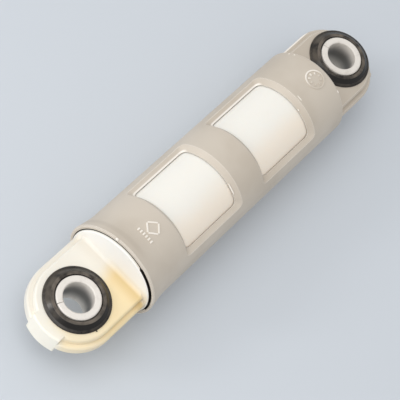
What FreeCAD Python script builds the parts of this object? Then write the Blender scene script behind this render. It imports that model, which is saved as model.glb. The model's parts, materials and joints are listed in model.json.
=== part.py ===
import FreeCAD, Part
import math
import os

import Sketcher

# Washing machine shock absorber: a white plunger slides in a grey housing, and a greased lining in
# the housing's mouth brakes it. Both ends have an eye with a rubber bush and a split sleeve.
# The origin is the middle of the housing's eye. X runs along the tubes towards the plunger's eye,
# and Z runs along both eyes' bores. Sizes are in millimetres, and turns in degrees.

SIZES = {
    # Travel, and the lengths that follow from it
    "stroke": 80.0,
    "engaged_length": 34.8,
    "end_clearance": 3.0,
    "end_wall": 3.2,
    "housing_neck": 19.8,
    "plunger_neck": 20.2,
    # Housing tube, and the plunger tube inside it
    "bore_radius": 17.0,
    "housing_wall": 2.1,
    "end_bevel": 1.0,
    "tube_clearance": 0.3,
    "tube_wall": 2.2,
    "collar_clearance": 0.12,
    "collar_length": 8.0,
    "collar_lead": 1.2,
    "head_wall": 4.0,
    # Mouth: the plunger's flange, the guide ring and the lining, from the outside in
    "flare_length": 8.2,
    "flare_rise": 1.3,
    "flare_blend": 24.0,
    "mouth_bevel": 0.5,
    "flange_proud": 1.0,
    "flange_thick": 2.0,
    "flange_gap": 0.4,
    "flange_bevel": 0.4,
    "relief_depth": 0.35,
    "relief_sweep": 71.0,
    "relief_turn": 62.5,
    "ring_setback": 0.4,
    "ring_width": 2.5,
    "ring_step": 0.9,
    "ring_clearance": 0.3,
    "ring_lead": 0.5,
    "lining_width": 7.9,
    "lining_thick": 1.2,
    "lining_clearance": 0.1,
    "lining_butt": 4.0,
    "lining_turn": 90.0,
    # Windows through the housing's wall, above and below
    "window_start": 19.6,
    "window_length": 33.5,
    "window_pitch": 46.7,
    "window_bevel": 2.1,
    "window_floor": 9.8,
    "window_corner": 3.0,
    # Eye lugs: a thick web with a thinner rim round it
    "housing_lug_inset": 0.45,
    "plunger_lug_inset": 0.17,
    "web_thick": 10.6,
    "web_root": 1.5,
    "web_bevel": 0.6,
    "rim_width": 2.1,
    "rim_thick": 4.4,
    "rim_bevel": 0.6,
    "tab_half_width": 6.6,
    "housing_arc_offset": 3.0,
    # Sleeve and rubber bush
    "pin_radius": 6.0,
    "sleeve_wall": 2.63,
    "sleeve_proud": 2.8,
    "sleeve_lead": 0.4,
    "sleeve_split": 1.5,
    "housing_sleeve_turn": 108.0,
    "plunger_sleeve_turn": 155.5,
    "bush_wall": 2.2,
    "bush_rise": 2.3,
    "bush_groove_width": 0.5,
    "bush_groove_depth": 0.9,
    "bush_shoulder": 1.3,
    "bush_flank": 1.55,
    "bush_foot_rise": 0.3,
    "bush_lip": 2.3,
    "bush_lip_edge": 0.5,
}
TOLERANCE = 1e-4
FULL_TURN = "360"
HALF_TURN = 180

# Places and radii that several pieces share, worked out from the sheet
OUTER = "(dims.bore_radius + dims.housing_wall)"
TUBE = "(dims.bore_radius - dims.tube_clearance)"
COLLAR = "(dims.bore_radius - dims.collar_clearance)"
LINING_BORE = f"({TUBE} + dims.lining_clearance)"
LINING_SEAT = f"({LINING_BORE} + dims.lining_thick)"
RING_SEAT = f"({LINING_SEAT} + dims.ring_step)"
RING_BORE = f"({TUBE} + dims.ring_clearance)"
FLANGE = f"({RING_SEAT} - dims.flange_gap)"
CAVITY_END = "(dims.housing_neck + dims.end_wall)"
TUBE_END = f"({CAVITY_END} + dims.end_clearance)"
MOUTH = f"({TUBE_END} + dims.stroke + dims.engaged_length)"
FLARE_START = f"({MOUTH} - dims.flare_length)"
FLANGE_FACE = f"({MOUTH} + dims.flange_proud)"
CLOSED_LENGTH = f"({FLANGE_FACE} + dims.plunger_neck)"
RING_FRONT = f"({FLANGE_FACE} - dims.flange_thick - dims.ring_setback)"
RING_BACK = f"({RING_FRONT} - dims.ring_width)"
LINING_BACK = f"({RING_BACK} - dims.lining_width)"
SLEEVE = "(dims.pin_radius + dims.sleeve_wall)"
EYE = f"({SLEEVE} + dims.bush_wall)"
WEB_FACE = "(dims.web_thick / 2)"
RIM_FACE = "(dims.rim_thick / 2)"
END_FLAT = f"({OUTER} - dims.end_bevel)"
FLANGE_FLAT = f"({FLANGE} - dims.flange_bevel)"

doc = FreeCAD.newDocument("shock_absorber")
sheet = doc.addObject("Spreadsheet::Sheet", "dims")
for row, (alias, size) in enumerate(SIZES.items(), start=1):
    sheet.set(f"A{row}", alias)
    sheet.set(f"B{row}", str(size))
    sheet.setAlias(f"B{row}", alias)
doc.recompute()


def value(expression):
    """What an expression of the sheet comes to now."""
    return float(sheet.evalExpression(expression))


def near(measure, expression):
    return abs(measure - value(expression)) < TOLERANCE


def new_body(label):
    body = doc.addObject("PartDesign::Body", label)
    body.Label = label
    return body


def origin_feature(body, role):
    return next(item for item in body.Origin.OriginFeatures if item.Role == role)


# Sketches

def new_sketch(body, plane, name):
    sketch = body.newObject("Sketcher::SketchObject", name)
    sketch.AttachmentSupport = [(origin_feature(body, plane), "")]
    sketch.MapMode = "FlatFace"
    return sketch


def hold(sketch, kind, expression, *where):
    """Adds a constraint whose size follows the sheet."""
    index = sketch.addConstraint(Sketcher.Constraint(kind, *where, value(expression)))
    sketch.setExpression(f"Constraints[{index}]", expression)


def hold_point(sketch, edge, end, across, up):
    """Holds a point of an edge at a place measured from the sketch's origin."""
    for kind, expression, axis in (("DistanceX", across, -2), ("DistanceY", up, -1)):
        if expression == "0":
            sketch.addConstraint(Sketcher.Constraint("PointOnObject", edge, end, axis))
        else:
            hold(sketch, kind, expression, -1, 1, edge, end)


def polygon(body, plane, name, corners):
    """A closed outline of straight edges, with every corner held by the sheet."""
    sketch = new_sketch(body, plane, name)
    points = [FreeCAD.Vector(value(across), value(up), 0) for across, up in corners]
    count = len(points)
    for edge in range(count):
        sketch.addGeometry(Part.LineSegment(points[edge], points[(edge + 1) % count]), False)
    for edge in range(count):
        sketch.addConstraint(Sketcher.Constraint("Coincident", edge, 2, (edge + 1) % count, 1))
    for edge, (across, up) in enumerate(corners):
        hold_point(sketch, edge, 1, across, up)
    return sketch


def rounded_tongue(body, name, base_x, half_width, centre_x, radius):
    """Two straight sides that run from base_x to an arc of this radius about centre_x."""
    sketch = new_sketch(body, "XY_Plane", name)
    base, half, centre, bend = (value(size) for size in (base_x, half_width, centre_x, radius))
    swing = math.asin(half / bend)
    tip = centre - bend * math.cos(swing)
    circle = Part.Circle(FreeCAD.Vector(centre, 0, 0), FreeCAD.Vector(0, 0, 1), bend)
    corners = [FreeCAD.Vector(x, y, 0) for x, y in ((base, half), (tip, half), (tip, -half), (base, -half))]
    left = sketch.addGeometry(Part.LineSegment(corners[0], corners[1]), False)
    arc = sketch.addGeometry(Part.ArcOfCircle(circle, math.pi - swing, math.pi + swing), False)
    right = sketch.addGeometry(Part.LineSegment(corners[2], corners[3]), False)
    root = sketch.addGeometry(Part.LineSegment(corners[3], corners[0]), False)
    for first, second in ((left, arc), (arc, right), (right, root), (root, left)):
        sketch.addConstraint(Sketcher.Constraint("Coincident", first, 2, second, 1))
    sketch.addConstraint(Sketcher.Constraint("Vertical", root))
    hold_point(sketch, arc, 3, centre_x, "0")
    hold(sketch, "Radius", radius, arc)
    hold_point(sketch, left, 1, base_x, half_width)
    hold(sketch, "DistanceY", f"-{half_width}", -1, 1, root, 1)
    if half_width == radius:
        sketch.addConstraint(Sketcher.Constraint("Vertical", left, 2, arc, 3))
        sketch.addConstraint(Sketcher.Constraint("Vertical", right, 1, arc, 3))
    else:
        sketch.addConstraint(Sketcher.Constraint("Horizontal", left))
        sketch.addConstraint(Sketcher.Constraint("Horizontal", right))
    return sketch


def circle_sketch(body, name, radius):
    sketch = new_sketch(body, "XY_Plane", name)
    circle = Part.Circle(FreeCAD.Vector(0, 0, 0), FreeCAD.Vector(0, 0, 1), value(radius))
    ring = sketch.addGeometry(circle, False)
    sketch.addConstraint(Sketcher.Constraint("Coincident", ring, 3, -1, 1))
    hold(sketch, "Radius", radius, ring)
    return sketch


# Features

def revolve(body, kind, name, sketch, axis, turn=FULL_TURN):
    """A revolution or a groove, half of its turn on each side of its sketch."""
    feature = body.newObject(f"PartDesign::{kind}", name)
    feature.Profile = sketch
    feature.ReferenceAxis = (sketch, [axis])
    feature.Midplane = True
    feature.setExpression("Angle", turn)
    doc.recompute()
    return feature


def extrude(body, kind, name, sketch, length):
    """A pad or a pocket, half of it on each side of its sketch."""
    feature = body.newObject(f"PartDesign::{kind}", name)
    feature.Profile = sketch
    feature.SideType = "Symmetric"
    feature.setExpression("Length", length)
    doc.recompute()
    return feature


def dress_edges(body, kind, name, feature, size, chosen):
    """Fillets or chamfers the edges of the last feature that chosen picks out."""
    edges = [f"Edge{number}" for number, edge in enumerate(feature.Shape.Edges, start=1) if chosen(edge)]
    dressed = body.newObject(f"PartDesign::{kind}", name)
    dressed.Base = (feature, edges)
    dressed.setExpression({"Fillet": "Radius", "Chamfer": "Size"}[kind], size)
    doc.recompute()
    return dressed


def is_ring(edge, radius, place, axis):
    """Whether an edge is a circle of this radius at this place along an axis."""
    if not isinstance(edge.Curve, Part.Circle):
        return False
    return near(edge.Curve.Radius, radius) and near(getattr(edge.Curve.Center, axis), place)


# Pieces

def rim_half_width(flat, inset):
    """Half the width of a lug whose rim ends this far inside the flat of the wall behind it."""
    return f"(sqrt({flat}^2 - {RIM_FACE}^2) - {inset})"


def add_lug(body, neck, arc_offset, backing, flat, inset):
    """Adds an eye lug, a web in a thinner rim, rooted in the wall behind the neck."""
    base = f"({neck} + {backing} / 2)"
    rim_half = rim_half_width(flat, inset)
    outline = rounded_tongue(body, "rim_outline", base, rim_half, arc_offset, rim_half)
    rim = extrude(body, "Pad", "rim", outline, "dims.rim_thick")
    dress_edges(body, "Chamfer", "rim_edge", rim, "dims.rim_bevel",
                lambda edge: on_outline(edge, RIM_FACE, neck))
    web_half = f"({rim_half} - dims.rim_width)"
    outline = rounded_tongue(body, "web_outline", base, web_half, arc_offset, web_half)
    web = extrude(body, "Pad", "web", outline, "dims.web_thick")
    web = dress_edges(body, "Chamfer", "web_edge", web, "dims.web_bevel",
                      lambda edge: on_outline(edge, WEB_FACE, neck))

    def at_root(edge):
        return all(near(abs(end.Z), WEB_FACE) and near(end.X, neck) for end in edge.Vertexes)

    room = f"({flat} - hypot({web_half} - dims.web_bevel; {WEB_FACE}) - {inset})"
    return dress_edges(body, "Fillet", "web_root", web, f"min(dims.web_root; {room})", at_root)


def open_eye(body):
    eye = circle_sketch(body, "eye_outline", EYE)
    extrude(body, "Pocket", "eye", eye, "2 * dims.web_thick")


def on_outline(edge, face, neck):
    """Whether an edge is on a lug's outline: a side that runs along X, or an arc."""
    ends = edge.Vertexes
    level = edge.BoundBox.ZLength < TOLERANCE and near(abs(ends[0].Z), face)
    before_neck = all(end.X < value(neck) + TOLERANCE for end in ends)
    side_or_arc = isinstance(edge.Curve, Part.Circle) or edge.BoundBox.YLength < TOLERANCE
    return level and before_neck and side_or_arc


def make_housing():
    body = new_body("outer_housing")
    profile = polygon(body, "XZ_Plane", "tube_profile", [
        ("dims.housing_neck", "0"),
        ("dims.housing_neck", OUTER),
        (FLARE_START, OUTER),
        (MOUTH, f"({OUTER} + dims.flare_rise)"),
        (MOUTH, RING_SEAT),
        (RING_BACK, RING_SEAT),
        (RING_BACK, LINING_SEAT),
        (LINING_BACK, LINING_SEAT),
        (LINING_BACK, "dims.bore_radius"),
        (CAVITY_END, "dims.bore_radius"),
        (CAVITY_END, "0"),
    ])
    tube = revolve(body, "Revolution", "tube", profile, "H_Axis")
    tube = dress_edges(body, "Fillet", "flare_blend", tube, "dims.flare_blend",
                       lambda edge: is_ring(edge, OUTER, FLARE_START, "x"))
    tube = dress_edges(body, "Chamfer", "mouth_edge", tube, "dims.mouth_bevel",
                       lambda edge: is_ring(edge, f"({OUTER} + dims.flare_rise)", MOUTH, "x"))
    dress_edges(body, "Chamfer", "closed_end_edge", tube, "dims.end_bevel",
                lambda edge: is_ring(edge, OUTER, "dims.housing_neck", "x"))
    add_lug(body, "dims.housing_neck", "dims.housing_arc_offset", "dims.end_wall",
            END_FLAT, "dims.housing_lug_inset")
    open_eye(body)
    relieve_mouth(body)
    windows = body.newObject("PartDesign::Boolean", "windows")
    windows.Type = "Cut"
    windows.setObjects([make_window_cutter()])
    return body


def relieve_mouth(body):
    """Cuts a shallow relief in the mouth's wall, centred on a turn from +Z towards +Y."""
    floor = f"({RING_SEAT} + dims.relief_depth)"
    clear = f"({MOUTH} + dims.flange_proud)"
    profile = polygon(body, "XZ_Plane", "relief_profile", [
        (RING_FRONT, LINING_SEAT), (clear, LINING_SEAT), (clear, floor), (RING_FRONT, floor),
    ])
    turn = FreeCAD.Rotation(FreeCAD.Vector(-1, 0, 0), value("dims.relief_turn"))
    profile.AttachmentOffset = FreeCAD.Placement(FreeCAD.Vector(), turn)
    profile.setExpression("AttachmentOffset.Rotation.Angle", "dims.relief_turn")
    revolve(body, "Groove", "mouth_relief", profile, "H_Axis", "dims.relief_sweep")


def make_window_cutter():
    """The space of the four windows: flat side ledges, and ends that open outwards."""
    body = new_body("window_cutter")
    start = "(dims.housing_neck + dims.window_start)"
    end = f"({start} + dims.window_length)"
    slope = "(dims.window_bevel / dims.housing_wall)"
    low = "(dims.bore_radius - dims.housing_wall)"
    high = f"({OUTER} + dims.housing_wall)"
    inset = f"(2 * dims.housing_wall * {slope})"
    spread = f"(dims.housing_wall * {slope})"
    profile = polygon(body, "XZ_Plane", "window_profile", [
        (f"({start} + {inset})", low),
        (f"({end} - {inset})", low),
        (f"({end} + {spread})", high),
        (f"({start} - {spread})", high),
    ])
    revolve(body, "Revolution", "window_ring", profile, "H_Axis")
    clear = f"(2 * {OUTER})"
    below = polygon(body, "YZ_Plane", "below_ledges", [
        (clear, "dims.window_floor"), (f"-{clear}", "dims.window_floor"),
        (f"-{clear}", f"-{clear}"), (clear, f"-{clear}"),
    ])
    opening = extrude(body, "Pocket", "ledges", below, f"(2 * {MOUTH})")

    def at_corner(edge):
        across = edge.BoundBox
        return near(across.ZMin, "dims.window_floor") and across.ZLength < TOLERANCE < across.YLength

    dress_edges(body, "Fillet", "window_corners", opening, "dims.window_corner", at_corner)
    pair = body.newObject("PartDesign::LinearPattern", "window_pair")
    pair.TransformMode = "Whole shape"
    pair.Direction = (origin_feature(body, "X_Axis"), [""])
    pair.setExpression("Length", "dims.window_pitch")
    pair.Occurrences = 2
    body.Tip = pair
    doc.recompute()
    both_sides = body.newObject("PartDesign::Mirrored", "both_sides")
    both_sides.TransformMode = "Whole shape"
    both_sides.MirrorPlane = (origin_feature(body, "XY_Plane"), [""])
    body.Tip = both_sides
    doc.recompute()
    return body


def make_plunger():
    """Built about its own eye with its tube along +X, then turned to face the housing."""
    body = new_body("plunger")
    flange_back = "(dims.plunger_neck + dims.flange_thick)"
    tip = f"({CLOSED_LENGTH} - {TUBE_END})"
    inside = f"({TUBE} - dims.tube_wall)"
    profile = polygon(body, "XZ_Plane", "tube_profile", [
        ("dims.plunger_neck", "0"),
        ("dims.plunger_neck", FLANGE),
        (flange_back, FLANGE),
        (flange_back, TUBE),
        (f"({tip} - dims.collar_length)", TUBE),
        (f"({tip} - dims.collar_length)", COLLAR),
        (f"({tip} - dims.collar_lead)", COLLAR),
        (tip, TUBE),
        (tip, inside),
        ("(dims.plunger_neck + dims.head_wall)", inside),
        ("(dims.plunger_neck + dims.head_wall)", "0"),
    ])
    tube = revolve(body, "Revolution", "tube", profile, "H_Axis")
    dress_edges(body, "Chamfer", "flange_edge", tube, "dims.flange_bevel",
                lambda edge: is_ring(edge, FLANGE, "dims.plunger_neck", "x"))
    add_lug(body, "dims.plunger_neck", "0", "dims.flange_thick", FLANGE_FLAT, "dims.plunger_lug_inset")
    reach = rim_half_width(FLANGE_FLAT, "dims.plunger_lug_inset")
    tab = rounded_tongue(body, "tab_outline", "dims.plunger_neck", "dims.tab_half_width", "0", reach)
    tab = extrude(body, "Pad", "tab", tab, "dims.web_thick")
    dress_edges(body, "Chamfer", "tab_edge", tab, "dims.web_bevel",
                lambda edge: any(is_ring(edge, reach, sign + WEB_FACE, "z") for sign in ("", "-")))
    open_eye(body)
    body.Placement = FreeCAD.Placement(FreeCAD.Vector(), FreeCAD.Rotation(FreeCAD.Vector(0, 0, 1), HALF_TURN))
    body.setExpression("Placement.Base.x", CLOSED_LENGTH)
    return body


def make_bush(label, place):
    """A rubber bush that fills the eye and grips the lug between two lips."""
    body = new_body(label)
    top = f"({WEB_FACE} + dims.bush_rise)"
    groove = f"({SLEEVE} + dims.bush_groove_width)"
    groove_floor = f"({top} - dims.bush_groove_depth)"
    shoulder = f"({groove} + dims.bush_shoulder)"
    foot = f"({shoulder} + dims.bush_flank)"
    lip = f"({EYE} + dims.bush_lip)"
    lip_top = f"({WEB_FACE} + dims.bush_lip_edge)"
    foot_top = f"({lip_top} + dims.bush_foot_rise)"
    upper = [(SLEEVE, groove_floor), (groove, top), (shoulder, top), (foot, foot_top), (lip, lip_top),
             (lip, WEB_FACE), (EYE, WEB_FACE)]
    lower = [(across, f"-{up}") for across, up in reversed(upper)]
    profile = polygon(body, "XZ_Plane", "bush_profile", upper + lower)
    revolve(body, "Revolution", "bush", profile, "V_Axis")
    body.setExpression("Placement.Base.x", place)
    return body


def make_sleeve(label, place, turn):
    """A split sleeve that stands proud of the lug on both faces."""
    body = new_body(label)
    top = f"({WEB_FACE} + dims.sleeve_proud)"
    wall_top = f"({top} - dims.sleeve_lead)"
    upper = [("dims.pin_radius", wall_top), ("(dims.pin_radius + dims.sleeve_lead)", top),
             (f"({SLEEVE} - dims.sleeve_lead)", top), (SLEEVE, wall_top)]
    lower = [(across, f"-{up}") for across, up in reversed(upper)]
    profile = polygon(body, "XZ_Plane", "sleeve_profile", upper + lower)
    revolve(body, "Revolution", "sleeve", profile, "V_Axis", "360 - dims.sleeve_split")
    body.Placement.Rotation = FreeCAD.Rotation(FreeCAD.Vector(0, 0, 1), value(turn))
    body.setExpression("Placement.Base.x", place)
    body.setExpression("Placement.Rotation.Angle", turn)
    return body


def make_lining():
    """A strip bent into a ring in the mouth, with a small gap where its ends meet."""
    body = new_body("friction_lining")
    profile = polygon(body, "XZ_Plane", "lining_profile", [
        (LINING_BACK, LINING_BORE), (RING_BACK, LINING_BORE),
        (RING_BACK, LINING_SEAT), (LINING_BACK, LINING_SEAT),
    ])
    revolve(body, "Revolution", "lining", profile, "H_Axis", "360 - dims.lining_butt")
    body.Placement.Rotation = FreeCAD.Rotation(FreeCAD.Vector(1, 0, 0), value("dims.lining_turn"))
    body.setExpression("Placement.Rotation.Angle", "dims.lining_turn")
    return body


def make_guide_ring():
    body = new_body("guide_ring")
    profile = polygon(body, "XZ_Plane", "ring_profile", [
        (RING_BACK, RING_BORE),
        (f"({RING_FRONT} - dims.ring_lead)", RING_BORE),
        (RING_FRONT, f"({RING_BORE} + dims.ring_lead)"),
        (RING_FRONT, RING_SEAT),
        (RING_BACK, RING_SEAT),
    ])
    revolve(body, "Revolution", "ring", profile, "H_Axis")
    return body


pieces = [
    make_housing(),
    make_plunger(),
    make_bush("housing_bush", "0"),
    make_bush("plunger_bush", CLOSED_LENGTH),
    make_sleeve("housing_sleeve", "0", "dims.housing_sleeve_turn"),
    make_sleeve("plunger_sleeve", CLOSED_LENGTH, "dims.plunger_sleeve_turn"),
    make_lining(),
    make_guide_ring(),
]
doc.recompute()

for item in doc.Objects:
    if "Invalid" in item.State or "Error" in item.State:
        raise RuntimeError(f"{item.Label} failed: {item.State}")
for piece in pieces:
    if piece.Shape.isNull() or not piece.Shape.isValid():
        raise RuntimeError(f"{piece.Label} is not a sound solid")

os.makedirs("parts", exist_ok=True)
for piece in pieces:
    piece.Shape.exportStep(f"parts/{piece.Label}.step")
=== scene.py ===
import json
import math

import bpy
from mathutils import Matrix, Vector


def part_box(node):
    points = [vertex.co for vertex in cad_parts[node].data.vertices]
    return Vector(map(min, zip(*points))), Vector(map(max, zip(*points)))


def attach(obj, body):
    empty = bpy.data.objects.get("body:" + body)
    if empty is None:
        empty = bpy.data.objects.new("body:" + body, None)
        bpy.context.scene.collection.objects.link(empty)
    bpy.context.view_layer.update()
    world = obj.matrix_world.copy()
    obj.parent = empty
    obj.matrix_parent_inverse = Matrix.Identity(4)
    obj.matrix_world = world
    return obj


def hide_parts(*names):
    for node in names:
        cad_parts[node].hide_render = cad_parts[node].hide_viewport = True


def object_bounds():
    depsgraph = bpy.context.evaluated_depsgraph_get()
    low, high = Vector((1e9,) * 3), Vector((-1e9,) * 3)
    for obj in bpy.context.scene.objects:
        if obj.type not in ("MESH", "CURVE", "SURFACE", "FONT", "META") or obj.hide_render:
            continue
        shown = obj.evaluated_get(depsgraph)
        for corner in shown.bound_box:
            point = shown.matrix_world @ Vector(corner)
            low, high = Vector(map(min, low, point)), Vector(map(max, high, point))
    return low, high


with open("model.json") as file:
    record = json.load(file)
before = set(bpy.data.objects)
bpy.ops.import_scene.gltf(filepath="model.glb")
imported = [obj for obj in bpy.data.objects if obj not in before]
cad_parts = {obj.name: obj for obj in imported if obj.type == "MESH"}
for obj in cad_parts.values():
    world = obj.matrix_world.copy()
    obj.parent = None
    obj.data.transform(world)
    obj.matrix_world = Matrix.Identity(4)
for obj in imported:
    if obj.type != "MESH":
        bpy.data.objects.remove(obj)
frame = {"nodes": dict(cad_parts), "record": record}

# Washing machine shock absorber: finishes for its moulded pieces, soft-edged rubber bushes, and the small
# raised marks, nubs and flash on its surfaces. Lengths are in metres, so sizes are millimetres times MM,
# and angles are in radians.

cad_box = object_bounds()
MM = 0.001
NODES = frame["nodes"]
EYES = {mount["name"]: Vector(mount["pos_m"]) for mount in frame["record"]["mounts"]}

# Camera, in the part's own frame
CAMERA_PLACE = Vector((0.45554, 0.04442, 0.57765))
CAMERA_RIGHT = Vector((-0.621315, 0.705509, 0.340917))
CAMERA_UP = Vector((-0.575432, -0.706140, 0.412606))
SENSOR_MM = 36.0
LENS_MM = 161.2

# Studio light: softboxes as place, size and power, and an even sky
LIGHT_TARGET = Vector((0.085, 0, 0))
SOFTBOXES = {
    "key": (Vector((0.5, -0.2, 0.95)), 0.9, 4.3),
    "front": (Vector((1.25, -0.3, 0.15)), 0.7, 2.7),
    "corner": (Vector((0.92, -0.71, 0.48)), 0.21, 1.9),
}
SKY_LEVEL = 0.62
FLOOR_SIZE = 12.0

# Housing tube: its bore, the windows' ledges, and the mouth with its crease and relief
TUBE_RADIUS = 19.1 * MM
BORE_RADIUS = 17.0 * MM
LEDGE_HEIGHT = 9.8 * MM
LAST_WINDOW_END = 121 * MM
MOUTH = 140.8 * MM
MOUTH_DEPTH = 3.9 * MM
MOUTH_CREASE = 137.4 * MM
MOUTH_RADIUS = 19.25 * MM
RELIEF_START = math.radians(27)
RELIEF_END = math.radians(98)
RELIEF_FADE = 0.05

# Plunger: its flange, and the lug with its rim and end tab
FLANGE_FACE = 141.8 * MM
FLANGE_RADIUS = 18.5 * MM
LUG_HALF_THICK = 5.3 * MM
LUG_EYE = EYES["plunger_eye"].x
RIM_HALF_THICK = 2.2 * MM
TAB_START = LUG_EYE + 14 * MM
TAB_HALF_WIDTH = 6.6 * MM

# Rubber bush: the groove round the sleeve, the shoulder, the flank below it, and the lip on the lug
GROOVE_WIDTH = 0.5 * MM
GROOVE_DEPTH = 0.9 * MM
SHOULDER_WIDTH = 1.3 * MM
FLANK_WIDTH = 1.55 * MM
FOOT_RISE = 0.3 * MM
LIP_EDGE = 0.5 * MM
EYE_RADIUS = 10.83 * MM
BUSH_SEGMENTS = 128
WELD = 0.01 * MM
BUSH_SOFTNESS = 0.22 * MM
BUSH_EDGE_CUTS = 3
BUSH_EDGE_ANGLE = math.radians(20)
# The side that faces the light, where the bushes carry a painted sheen
SHEEN_SIDE = Vector((0.5, -0.87, 0))

# Raised marks on the housing: a diamond with a row of bars, and a ring with ticks
MARK_HEIGHT = 0.35 * MM
MARK_SOFTNESS = 0.1 * MM
MARK_EDGE_CUTS = 2
MARK_EDGE_ANGLE = math.radians(40)
STROKE = 0.65 * MM
STROKE_CUTS = 5
DIAMOND_MIDDLE = Vector((126.6, 0.5)) * MM
DIAMOND_REACH = 3.1 * MM
DIAMOND_SIDE = DIAMOND_REACH * 1.25
BAR_ROW_X = 131.1 * MM
BAR_LENGTH = 1.3 * MM
BAR_PITCH = 1.3 * MM
BAR_COUNT = 6
RING_MIDDLE = Vector((26.6, 0.5)) * MM
RING_RADIUS = 4.2 * MM
RING_SEGMENTS = 72
TICK_LENGTH = 1.1 * MM
TICK_COUNT = 8

# Moulding nubs: where each one sits, how far it reaches from there, and its rotation
GATE_NUB = (Vector((-8.7, 13.0, 0.6)) * MM, Vector((0.6, 1.2, 1.3)) * MM, (0, 0, math.radians(132)))
MOUTH_NUB = (Vector((140.7, -5.2, 19.5)) * MM, Vector((0.5, 0.7, 0.6)) * MM, (0, 0, 0))
BUSH_NIB = (Vector((165.2, 12.75, 5.5)) * MM, Vector((0.6, 0.3, 0.2)) * MM, (0, 0, math.radians(76)))

# A nub's ball: it starts a little large, because smoothing shrinks it
NUB_SEGMENTS = 12
NUB_RINGS = 6
NUB_START = 1.06
NUB_UNEVENNESS = 0.16
NUB_SEED = 4

# Flash on the housing's edges: how far along it is, its radius and turn about the axis, and its length
FLASH = {
    "flash_end_right": (20.8 * MM, 18.95 * MM, math.radians(32), 1.5 * MM),
    "flash_end_left": (21.6 * MM, 18.95 * MM, math.radians(-41), 0.9 * MM),
    "flash_end_far_left": (21.6 * MM, 18.95 * MM, math.radians(-49), 1.0 * MM),
    "flash_window_edge": (38.3 * MM, 18.92 * MM, math.radians(5.5), 3.1 * MM),
    "flash_window_lip": (41.25 * MM, 17.45 * MM, math.radians(16), 0.9 * MM),
    "flash_window_bead": (87.9 * MM, 17.5 * MM, math.radians(32), 5.5 * MM),
}
FLASH_REACH = 0.3 * MM

# Edges that turn less than this look smooth
SMOOTH_ANGLE = math.radians(35)

# Painted shade colours that show in more than one place
PAINTED_SHADE = "#9C9082"
PAINTED_GAP_SHADE = "#1D1A17"


# Mesh tools

def begin():
    """Leaves nothing selected, so that the next operators act on the new piece alone."""
    if bpy.context.object and bpy.context.object.mode == "EDIT":
        bpy.ops.object.mode_set(mode="OBJECT")
    bpy.ops.object.select_all(action="DESELECT")


def apply_modifier(piece, kind, **settings):
    """Adds a modifier with its settings to the active piece, and applies it."""
    modifier = piece.modifiers.new(kind.lower(), kind)
    for name, setting in settings.items():
        setattr(modifier, name, setting)
    bpy.ops.object.modifier_apply(modifier=modifier.name)


def finish_piece(piece, name, body, material):
    """Settles a piece's place in its mesh, and gives it its name, finish and body."""
    bpy.ops.object.transform_apply(location=True, rotation=True, scale=True)
    bpy.ops.object.shade_smooth_by_angle(angle=SMOOTH_ANGLE)
    piece.name = name
    piece.data.name = name
    piece.data.materials.append(material)
    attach(piece, body)


# Material tools

# Indices of the colour mixer's sockets, whose names repeat
MIX_FACTOR, MIX_A, MIX_B, MIX_RESULT = 0, 6, 7, 2


def linear(colour):
    """An sRGB hex colour as linear red, green, blue and alpha."""
    channels = [int(colour[start:start + 2], 16) / 255 for start in (1, 3, 5)]
    return tuple(c / 12.92 if c <= 0.04045 else ((c + 0.055) / 1.055) ** 2.4 for c in channels) + (1.0,)


def plug(tree, node, sockets):
    """Gives each socket of a node what it takes: an output, another node's first output, or a constant."""
    for name, given in sockets.items():
        if isinstance(given, bpy.types.Node):
            given = given.outputs[0]
        if isinstance(given, bpy.types.NodeSocket):
            tree.links.new(given, node.inputs[name])
        else:
            node.inputs[name].default_value = given


def add_node(tree, kind, sockets, **settings):
    """Adds a node with its settings and links."""
    node = tree.nodes.new("ShaderNode" + kind)
    for name, setting in settings.items():
        setattr(node, name, setting)
    plug(tree, node, sockets)
    return node


def new_material(name, roughness, ior):
    """Starts a material from its typical roughness and IOR, with its shader and the place on the piece."""
    material = bpy.data.materials.new(name)
    material.use_nodes = True
    tree = material.node_tree
    shader = tree.nodes["Principled BSDF"]
    plug(tree, shader, {"Roughness": roughness, "IOR": ior})
    place = add_node(tree, "TexCoord", {}).outputs["Object"]
    return material, tree, shader, place


def mask(tree, strength, fades):
    """How much of a finish shows: its strength, lessened by each fade. A fade is a value, where the finish
    begins to show and where it shows in full, which may be the smaller one."""
    for value, begins, full in fades:
        sockets = {"Value": value, "From Min": begins, "From Max": full}
        fade = add_node(tree, "MapRange", sockets, interpolation_type="SMOOTHSTEP")
        strength = add_node(tree, "Math", {0: strength, 1: fade}, operation="MULTIPLY")
    return strength


def lay_colour(tree, under, over, strength, fades=()):
    """Lays one colour over another as a mask lets it show. Each is a hex colour or an output."""
    sockets = {MIX_FACTOR: mask(tree, strength, fades)}
    for socket, colour in ((MIX_A, under), (MIX_B, over)):
        sockets[socket] = linear(colour) if isinstance(colour, str) else colour
    return add_node(tree, "Mix", sockets, data_type="RGBA").outputs[MIX_RESULT]


def round_axis(tree, place):
    """How far along the tubes' axis a point is, how far from it, and its turn from +Z towards +Y."""
    parts = add_node(tree, "SeparateXYZ", {"Vector": place}).outputs
    across = add_node(tree, "VectorMath", {0: place, 1: (0, 1, 1)}, operation="MULTIPLY")
    radius = add_node(tree, "VectorMath", {0: across}, operation="LENGTH").outputs["Value"]
    turn = add_node(tree, "Math", {0: parts["Y"], 1: parts["Z"]}, operation="ARCTAN2")
    return parts["X"], radius, turn


def along_bores(tree, vector):
    """How much of a place or a direction lies along the eyes' bores, whichever way it points."""
    part = add_node(tree, "SeparateXYZ", {"Vector": vector}).outputs["Z"]
    return add_node(tree, "Math", {0: part}, operation="ABSOLUTE")


# Materials

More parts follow.
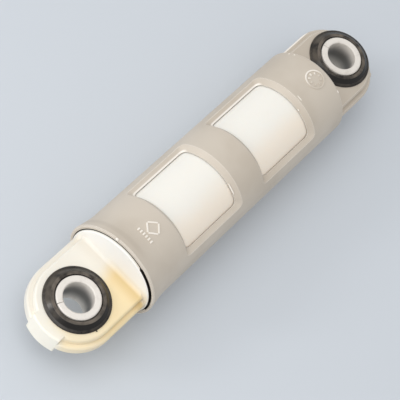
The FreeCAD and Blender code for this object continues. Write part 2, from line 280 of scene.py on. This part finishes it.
def housing_polypropylene():
    """Grey polypropylene, moulded in a spark-eroded tool: an even satin with a fine grain and faint flow
    clouds. Outer edges carry a painted highlight, palest on the windows' ledges on the lit side. Painted
    shade darkens the corners and the crease behind the mouth, and near-black painted shade fills the mouth."""
    material, tree, shader, place = new_material("polypropylene_moulded_grey", 0.5, 1.49)
    clouds = add_node(tree, "TexNoise", {"Vector": place, "Scale": 1 / (22 * MM), "Detail": 3.0})
    colour = lay_colour(tree, "#D2C8BA", "#C9BEAF", 1.0, [(clouds, 0.35, 0.7)])
    # Softened and true normals part at an edge. Occlusion tells outer edges from inner corners.
    soft = add_node(tree, "Bevel", {"Radius": 0.5 * MM}, samples=6)
    true = add_node(tree, "NewGeometry", {}).outputs["Normal"]
    along = add_node(tree, "VectorMath", {0: soft, 1: true}, operation="DOT_PRODUCT").outputs["Value"]
    air = add_node(tree, "AmbientOcclusion", {"Distance": 2.5 * MM}, samples=8).outputs["AO"]
    # Painted highlight: outer edges are painted paler, inner corners are not.
    colour = lay_colour(tree, colour, "#FBF5EB", 0.85, [(along, 0.995, 0.9), (air, 0.75, 0.95)])
    # Painted shade: occluded corners are darkened in a dusty colour.
    colour = lay_colour(tree, colour, PAINTED_SHADE, 0.3, [(air, 0.6, 0.2)])
    x, radius, turn = round_axis(tree, place)
    height = along_bores(tree, place)
    # Painted highlight: the windows' ledges are painted palest on the lit -Y side.
    ledge_highlight = [
        (radius, BORE_RADIUS + 0.02 * MM, BORE_RADIUS + 0.06 * MM),
        (radius, BORE_RADIUS + 0.9 * MM, BORE_RADIUS + 0.4 * MM),
        (height, LEDGE_HEIGHT + 2.5 * MM, LEDGE_HEIGHT + 0.3 * MM),
        (turn, 0.2, -0.2),
        (x, LAST_WINDOW_END, LAST_WINDOW_END - 0.5 * MM),
    ]
    colour = lay_colour(tree, colour, "#FFF9F0", 0.9, ledge_highlight)
    # Painted shade in the concave crease behind the mouth's flare, on the side where its slope faces away
    # from the light.
    crease = [
        (x, MOUTH_CREASE - 1.9 * MM, MOUTH_CREASE - 0.4 * MM),
        (x, MOUTH_CREASE + 1.5 * MM, MOUTH_CREASE + 0.4 * MM),
        (turn, 0.45, 0),
    ]
    colour = lay_colour(tree, colour, PAINTED_SHADE, 0.16, crease)
    # Painted shade: the deep gap inside the mouth is painted near black.
    in_mouth = [
        (radius, MOUTH_RADIUS + 0.2 * MM, MOUTH_RADIUS + 0.1 * MM),
        (x, MOUTH - MOUTH_DEPTH, MOUTH - MOUTH_DEPTH + 0.3 * MM),
        (x, MOUTH - 0.05 * MM, MOUTH - 0.15 * MM),
    ]
    colour = lay_colour(tree, colour, PAINTED_GAP_SHADE, 1.0, in_mouth)
    # The eroded grain is finer than a pixel, so it is drawn at half a millimetre to show
    grain = add_node(tree, "TexNoise", {"Vector": place, "Scale": 1 / (0.5 * MM), "Detail": 2.0})
    pressed = {"Height": grain, "Distance": 0.02 * MM, "Strength": 0.5, "Normal": soft}
    plug(tree, shader, {
        "Base Color": colour,
        "Roughness": add_node(tree, "MapRange", {"Value": clouds, "To Min": 0.44, "To Max": 0.58}),
        "Normal": add_node(tree, "Bump", pressed),
    })
    return material


def mark_polypropylene():
    """The same polypropylene on small raised marks and flash, smoother on top, and painted near white in
    soft patches as a painted highlight. The ring mark near the closed end carries it on its lit -Y side
    only."""
    material, tree, shader, place = new_material("polypropylene_mark_painted_highlight", 0.42, 1.49)
    parts = add_node(tree, "SeparateXYZ", {"Vector": place}).outputs
    near_ring = {0: parts["X"], 1: RING_MIDDLE.x, 2: RING_RADIUS + 1 * MM}
    on_ring = add_node(tree, "Math", near_ring, operation="COMPARE")
    highlight_patches = add_node(tree, "TexNoise", {"Vector": place, "Scale": 1 / (1.5 * MM), "Detail": 2.0})
    # Painted highlight: marks, nubs and flash are painted near white in soft patches.
    colour = lay_colour(tree, "#FDF8F0", "#F0E8DC", highlight_patches)
    # Painted shade: away from the lit -Y side the ring mark takes the housing's grey.
    colour = lay_colour(tree, colour, "#D3C9BB", on_ring, [(parts["Y"], -3 * MM, 2 * MM)])
    plug(tree, shader, {"Base Color": colour})
    return material


def plunger_acetal():
    """White acetal, moulded in a polished tool: a smooth satin white that light enters a little, with faint
    drag lines along the tube and painted warm light on its shaded +Y side. The lug is ivory, cream towards
    +Y, with painted shade at its root, greyer on one side of its rim, and white on its end tab. Painted
    shade fills the gap round the flange."""
    material, tree, shader, place = new_material("acetal_moulded_ivory", 0.34, 1.48)
    x, radius, turn = round_axis(tree, place)
    height = along_bores(tree, place)
    y = add_node(tree, "SeparateXYZ", {"Vector": place}).outputs["Y"]
    beside = add_node(tree, "Math", {0: y}, operation="ABSOLUTE")
    # The cream side has a wandering border, so soft patches shift the distance to that side
    patches = add_node(tree, "TexNoise", {"Vector": place, "Scale": 1 / (14 * MM), "Detail": 3.0})
    drift = add_node(tree, "Math", {0: patches, 1: 0.5}, operation="SUBTRACT")
    side = add_node(tree, "Math", {0: drift, 1: 6 * MM, 2: y}, operation="MULTIPLY_ADD")
    # Painted warm light: the tube is painted warmer towards its shaded +Y side.
    colour = lay_colour(tree, "#F8F5ED", "#FFF2E2", 1.0, [(side, 0, 11 * MM)])
    flange = [(x, FLANGE_FACE - 0.5 * MM, FLANGE_FACE - 0.2 * MM)]
    colour = lay_colour(tree, colour, "#FBF8F2", 1.0, flange)
    less_cream_end = add_node(tree, "MapRange", {
        "Value": x,
        "From Min": LUG_EYE - 4 * MM,
        "From Max": LUG_EYE + 6 * MM,
        "To Min": 1.0,
        "To Max": 0.68,
    })
    cream_side = [(side, -5 * MM, 3.5 * MM)]
    lug = [
        (height, LUG_HALF_THICK + 4 * MM, LUG_HALF_THICK),
        (x, FLANGE_FACE - 1 * MM, FLANGE_FACE + 2 * MM),
    ]
    ivory = lay_colour(tree, "#F6F1E5", "#FBE6BA", less_cream_end, cream_side)
    colour = lay_colour(tree, colour, ivory, 1.0, lug)
    # Painted shade: the lug is darker in the concave crease at its root by the flange.
    root = [(x, FLANGE_FACE + 7 * MM, FLANGE_FACE + 0.7 * MM)]
    dark_ivory = lay_colour(tree, "#E6DFD2", "#DFC48A", less_cream_end, cream_side)
    colour = lay_colour(tree, colour, dark_ivory, 0.8, lug + root)
    rim = [
        (height, RIM_HALF_THICK + 0.5 * MM, RIM_HALF_THICK + 0.1 * MM),
        (y, 0, -5 * MM),
    ]
    colour = lay_colour(tree, colour, "#E8E2D6", 0.65, lug + rim)
    tab = [
        (x, TAB_START - 3 * MM, TAB_START + 2.5 * MM),
        (beside, TAB_HALF_WIDTH + 2.5 * MM, TAB_HALF_WIDTH - 1 * MM),
    ]
    colour = lay_colour(tree, colour, "#FCF6E8", 1.0, tab)
    # Painted shade fills the gap round the flange: it reaches the flange's face where the mouth is relieved,
    # and stays near the mouth elsewhere
    relief = [
        (turn, RELIEF_START - RELIEF_FADE, RELIEF_START),
        (turn, RELIEF_END, RELIEF_END - RELIEF_FADE),
    ]
    gap_shade_end = add_node(tree, "MapRange", {
        "Value": mask(tree, 1.0, relief),
        "To Min": MOUTH + 0.1 * MM,
        "To Max": FLANGE_FACE - 0.3 * MM,
    })
    short_of_end = add_node(tree, "Math", {0: gap_shade_end, 1: x}, operation="SUBTRACT")
    shaded_gap = [
        (radius, FLANGE_RADIUS - 0.15 * MM, FLANGE_RADIUS - 0.05 * MM),
        (short_of_end, 0, 0.1 * MM),
    ]
    colour = lay_colour(tree, colour, PAINTED_GAP_SHADE, 1.0, shaded_gap)
    # Drag lines are finer than a pixel, so they are drawn 0.7 mm wide to show, and 25 times as long
    stretch = add_node(tree, "Mapping", {"Vector": place, "Scale": (1 / 25, 1.0, 1.0)})
    drag = add_node(tree, "TexNoise", {"Vector": stretch, "Scale": 1 / (0.7 * MM), "Detail": 2.0})
    soft = add_node(tree, "Bevel", {"Radius": 0.6 * MM}, samples=6)
    pressed = {"Height": drag, "Distance": 0.01 * MM, "Strength": 0.4, "Normal": soft}
    plug(tree, shader, {
        "Base Color": colour,
        "Roughness": add_node(tree, "MapRange", {"Value": drag, "To Min": 0.28, "To Max": 0.42}),
        "Normal": add_node(tree, "Bump", pressed),
        "Subsurface Weight": 0.15,
        "Subsurface Radius": (1.0, 0.9, 0.8),
        "Subsurface Scale": 1.0 * MM,
    })
    return material


def bush_rubber():
    """Black nitrile rubber, moulded and worn by handling: brown-black with a satin sheen on its flanks, and
    a painted grey-brown sheen in patches on the side that faces the light. Its flat shoulders and lips are
    scuffed, so they are dull and dusty grey in patches."""
    material, tree, shader, place = new_material("nitrile_rubber_black", 0.25, 1.52)
    facing = add_node(tree, "TexCoord", {}).outputs["Normal"]
    # The shoulders stand proud, so they are scuffed more than the lips
    wear_range = {
        "Value": along_bores(tree, place),
        "From Min": LUG_HALF_THICK + LIP_EDGE,
        "From Max": LUG_HALF_THICK + 2 * MM,
        "To Min": 0.25,
        "To Max": 1.0,
    }
    wear = add_node(tree, "MapRange", wear_range, interpolation_type="SMOOTHSTEP")
    patches = add_node(tree, "TexNoise", {"Vector": place, "Scale": 1 / (4 * MM), "Detail": 4.0})
    scuff = mask(tree, wear, [(along_bores(tree, facing), 0.8, 0.97), (patches, 0.25, 0.7)])
    # Painted sheen: the flank that faces the light is painted grey-brown in patches.
    sheen_sockets = {0: facing, 1: SHEEN_SIDE}
    sheen_facing = add_node(tree, "VectorMath", sheen_sockets, operation="DOT_PRODUCT").outputs["Value"]
    sheen_patches = add_node(tree, "TexNoise", {"Vector": place, "Scale": 1 / (5 * MM), "Detail": 3.0})
    colour = lay_colour(tree, "#120F0D", "#5E564C", 0.8, [(sheen_facing, 0.1, 0.6), (sheen_patches, 0.3, 0.65)])
    # The rubber's pores are finer than a pixel, so they are drawn at 0.6 mm to show
    pores = add_node(tree, "TexNoise", {"Vector": place, "Scale": 1 / (0.6 * MM), "Detail": 2.0})
    plug(tree, shader, {
        "Base Color": lay_colour(tree, colour, "#6E655B", scuff),
        "Roughness": add_node(tree, "MapRange", {"Value": scuff, "To Min": 0.25, "To Max": 0.6}),
        "Specular IOR Level": 0.4,
        "Normal": add_node(tree, "Bump", {"Height": pores, "Distance": 0.02 * MM, "Strength": 0.35}),
    })
    return material


def sleeve_nylon():
    """Natural nylon, moulded: a cool off-white satin, with painted shade deep in the bore."""
    material, tree, shader, place = new_material("nylon_moulded_natural", 0.38, 1.53)
    facing = add_node(tree, "TexCoord", {}).outputs["Normal"]
    spots = add_node(tree, "TexNoise", {"Vector": place, "Scale": 1 / (2.5 * MM), "Detail": 4.0})
    colour = lay_colour(tree, "#ECE6DE", "#C9C2B8", 0.45, [(spots, 0.5, 0.8)])
    # Painted shade: the bore's wall is darkened, most in its middle.
    in_bore = [(along_bores(tree, facing), 0.6, 0.3), (along_bores(tree, place), 7.5 * MM, 0.5 * MM)]
    soft = add_node(tree, "Bevel", {"Radius": 0.35 * MM}, samples=6)
    pressed = {"Height": spots, "Distance": 0.02 * MM, "Strength": 0.4, "Normal": soft}
    plug(tree, shader, {
        "Base Color": lay_colour(tree, colour, "#4A4845", 0.85, in_bore),
        "Normal": add_node(tree, "Bump", pressed),
    })
    return material


def lining_foam():
    """Open polyurethane foam soaked in amber grease: small dark cells between wet, shiny walls."""
    material, tree, shader, place = new_material("polyurethane_foam_greased", 0.5, 1.46)
    cells = add_node(tree, "TexVoronoi", {"Vector": place, "Scale": 1 / (0.9 * MM)}).outputs["Distance"]
    walls = mask(tree, 1.0, [(cells, 0, 0.6)])
    plug(tree, shader, {
        "Base Color": lay_colour(tree, "#4A3D27", "#B59B68", walls),
        "Normal": add_node(tree, "Bump", {"Height": walls, "Distance": 0.3 * MM, "Strength": 0.8}),
        "Coat Weight": 0.5,
        "Coat Roughness": 0.25,
    })
    return material


def ring_acetal():
    """Black acetal, moulded: a smooth satin with a thin film of grease in uneven patches."""
    material, tree, shader, place = new_material("acetal_moulded_black", 0.4, 1.48)
    film = add_node(tree, "TexNoise", {"Vector": place, "Scale": 1 / (4 * MM), "Detail": 3.0})
    plug(tree, shader, {
        "Base Color": lay_colour(tree, "#242425", "#302D28", film),
        "Roughness": add_node(tree, "MapRange", {"Value": film, "To Min": 0.25, "To Max": 0.55}),
    })
    return material


def floor_paint():
    """Matt studio paint, rolled: plain and pale, with a shadow as its only tone."""
    material, tree, shader, _ = new_material("studio_paint_pale", 0.85, 1.45)
    plug(tree, shader, {"Base Color": linear("#D3D9E0")})
    return material


# Pieces

def make_bush(node, body, eye, material):
    """A moulded bush in the CAD bush's form, with soft edges: a ring is extruded along its section."""
    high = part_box(node)[1]
    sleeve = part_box(node.replace("bush", "sleeve"))[1].y
    top = high.z
    lip = high.y
    groove = sleeve + GROOVE_WIDTH
    shoulder = groove + SHOULDER_WIDTH
    lip_top = LUG_HALF_THICK + LIP_EDGE
    section = [
        (sleeve, top - GROOVE_DEPTH), (groove, top), (shoulder, top),
        (shoulder + FLANK_WIDTH, lip_top + FOOT_RISE), (lip, lip_top), (lip, LUG_HALF_THICK),
        (EYE_RADIUS, LUG_HALF_THICK),
    ]
    section += [(radius, -height) for radius, height in reversed(section)] + section[:1]
    begin()
    radius, height = section[0]
    bpy.ops.mesh.primitive_circle_add(vertices=BUSH_SEGMENTS, radius=radius,
                                      location=(eye.x, eye.y, height))
    bush = bpy.context.object
    bpy.ops.object.mode_set(mode="EDIT")
    for next_radius, next_height in section[1:]:
        rise = next_height - height
        bpy.ops.mesh.extrude_edges_move(TRANSFORM_OT_translate={"value": (0, 0, rise)})
        wider = next_radius / radius
        bpy.ops.transform.resize(value=(wider, wider, 1), center_override=(eye.x, eye.y, next_height))
        radius, height = next_radius, next_height
    bpy.ops.mesh.select_all(action="SELECT")
    bpy.ops.mesh.remove_doubles(threshold=WELD)
    bpy.ops.mesh.normals_make_consistent(inside=False)
    bpy.ops.object.mode_set(mode="OBJECT")
    apply_modifier(bush, "BEVEL", width=BUSH_SOFTNESS, segments=BUSH_EDGE_CUTS, limit_method="ANGLE",
                   angle_limit=BUSH_EDGE_ANGLE)
    finish_piece(bush, node + "_moulded", body, material)
    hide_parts(node)


def make_nub(name, middle, reach, rotation, body, slot, material):
    """A small uneven lump that a mould's gate or a flash line has left: a ball pushed out of true, smoothed,
    and drawn out to its reach."""
    begin()
    bpy.ops.mesh.primitive_uv_sphere_add(segments=NUB_SEGMENTS, ring_count=NUB_RINGS, radius=NUB_START,
                                         location=middle, rotation=rotation)
    piece = bpy.context.object
    bpy.ops.object.mode_set(mode="EDIT")
    bpy.ops.transform.vertex_random(offset=NUB_UNEVENNESS, normal=1, seed=NUB_SEED)
    bpy.ops.object.mode_set(mode="OBJECT")
    apply_modifier(piece, "SUBSURF", levels=1, render_levels=1)
    piece.scale = reach
    finish_piece(piece, name, body, material)


def make_flash(name, flash, material):
    """A nub drawn out along an edge that runs round the housing's axis."""
    x, radius, turn, length = flash
    middle = Vector((x, radius * math.sin(turn), radius * math.cos(turn)))
    reach = Vector((FLASH_REACH, length / 2, FLASH_REACH))
    make_nub(name, middle, reach, (-turn, 0, 0), "housing", "housing_plastic", material)


def lay_stroke(middle, length, turn):
    """A thin flat strip over the housing, cut across so that it can follow the round surface."""
    bpy.ops.mesh.primitive_plane_add(size=1, location=(middle.x, middle.y, TUBE_RADIUS + MARK_HEIGHT),
                                     rotation=(0, 0, turn))
    strip = bpy.context.object
    strip.scale = (length, STROKE, 1)
    bpy.ops.object.transform_apply(location=True, rotation=True, scale=True)
    bpy.ops.object.mode_set(mode="EDIT")
    bpy.ops.mesh.subdivide(number_cuts=STROKE_CUTS)
    bpy.ops.object.mode_set(mode="OBJECT")
    return strip


def lay_ring(middle, radius):
    """A thin flat ring over the housing."""
    bpy.ops.mesh.primitive_circle_add(vertices=RING_SEGMENTS, radius=radius, fill_type="NGON",
                                      location=(middle.x, middle.y, TUBE_RADIUS + MARK_HEIGHT))
    ring = bpy.context.object
    bpy.ops.object.transform_apply(location=True)
    bpy.ops.object.mode_set(mode="EDIT")
    bpy.ops.mesh.select_all(action="SELECT")
    bpy.ops.mesh.inset(thickness=STROKE)
    bpy.ops.mesh.delete(type="FACE")
    bpy.ops.object.mode_set(mode="OBJECT")
    return ring


def raise_mark(strips, name, material):
    """Joins strips, lays them on the housing's surface and gives them their height."""
    bpy.ops.object.select_all(action="DESELECT")
    for strip in strips:
        strip.select_set(True)
    bpy.context.view_layer.objects.active = strips[0]
    bpy.ops.object.join()
    mark = bpy.context.object
    apply_modifier(mark, "SHRINKWRAP", target=NODES["outer_housing"], wrap_method="PROJECT",
                   use_project_z=True, use_negative_direction=True, use_positive_direction=False)
    apply_modifier(mark, "SOLIDIFY", thickness=MARK_HEIGHT, offset=1)
    apply_modifier(mark, "BEVEL", width=MARK_SOFTNESS, segments=MARK_EDGE_CUTS, limit_method="ANGLE",
                   angle_limit=MARK_EDGE_ANGLE)
    finish_piece(mark, name, "housing", material)


def make_diamond_mark(material):
    """Four strokes round a diamond, and a row of bars beside it."""
    begin()
    strips = []
    for quarter in range(4):
        turn = math.radians(45 + 90 * quarter)
        side = Vector((math.cos(turn), math.sin(turn))) * DIAMOND_REACH / math.sqrt(2)
        strips.append(lay_stroke(DIAMOND_MIDDLE + side, DIAMOND_SIDE, turn + math.pi / 2))
    first = DIAMOND_MIDDLE.y - BAR_PITCH * (BAR_COUNT - 1) / 2
    for bar in range(BAR_COUNT):
        strips.append(lay_stroke(Vector((BAR_ROW_X, first + bar * BAR_PITCH)), BAR_LENGTH, 0))
    raise_mark(strips, "diamond_mark", material)


def make_ring_mark(material):
    """A ring, with ticks that point inwards from it."""
    begin()
    strips = [lay_ring(RING_MIDDLE, RING_RADIUS)]
    reach = RING_RADIUS - STROKE - TICK_LENGTH
    for tick in range(TICK_COUNT):
        turn = math.tau * tick / TICK_COUNT
        outwards = Vector((math.cos(turn), math.sin(turn)))
        strips.append(lay_stroke(RING_MIDDLE + outwards * reach, TICK_LENGTH, turn))
    raise_mark(strips, "ring_mark", material)


# Stage

def add_to_scene(name, data, place, turn):
    """Puts a camera or a lamp in the scene, at a place and turned as it should be."""
    thing = bpy.data.objects.new(name, data)
    bpy.context.scene.collection.objects.link(thing)
    thing.matrix_world = Matrix.Translation(place) @ turn.to_4x4()
    return thing


def add_camera():
    """A long lens that looks down on the part from above the plunger's end."""
    data = bpy.data.cameras.new("camera")
    data.sensor_width = SENSOR_MM
    data.lens = LENS_MM
    turn = Matrix((CAMERA_RIGHT, CAMERA_UP, CAMERA_RIGHT.cross(CAMERA_UP))).transposed()
    bpy.context.scene.camera = add_to_scene("camera", data, CAMERA_PLACE, turn)


def add_stage():
    """A plain floor under the part, softboxes turned to it, and an even white sky."""
    begin()
    bpy.ops.mesh.primitive_plane_add(size=FLOOR_SIZE, location=(0, 0, cad_box[0].z))
    floor = bpy.context.object
    floor.name = "floor"
    floor.data.materials.append(floor_paint())
    for name, (place, size, power) in SOFTBOXES.items():
        data = bpy.data.lights.new(name, "AREA")
        data.energy = power
        data.size = size
        add_to_scene(name, data, place, (place - LIGHT_TARGET).to_track_quat("Z", "Y").to_matrix())
    world = bpy.data.worlds.new("studio")
    world.use_nodes = True
    sky = world.node_tree.nodes["Background"]
    plug(world.node_tree, sky, {"Color": (1, 1, 1, 1), "Strength": SKY_LEVEL})
    bpy.context.scene.world = world
    bpy.context.scene.view_settings.view_transform = "Standard"


polypropylene = housing_polypropylene()
rubber = bush_rubber()
nylon = sleeve_nylon()
finishes = {
    "outer_housing": polypropylene,
    "plunger": plunger_acetal(),
    "housing_bush": rubber,
    "plunger_bush": rubber,
    "housing_sleeve": nylon,
    "plunger_sleeve": nylon,
    "friction_lining": lining_foam(),
    "guide_ring": ring_acetal(),
}
for node, material in finishes.items():
    NODES[node].material_slots[0].material = material

make_bush("housing_bush", "housing", EYES["housing_eye"], rubber)
make_bush("plunger_bush", "plunger", EYES["plunger_eye"], rubber)
mark_finish = mark_polypropylene()
make_diamond_mark(mark_finish)
make_ring_mark(mark_finish)
make_nub("gate_nub", *GATE_NUB, "housing", "housing_plastic", polypropylene)
make_nub("mouth_nub", *MOUTH_NUB, "housing", "housing_plastic", mark_finish)
make_nub("bush_nib", *BUSH_NIB, "plunger", "bush_rubber", rubber)
for name, flash in FLASH.items():
    make_flash(name, flash, mark_finish)
add_camera()
add_stage()
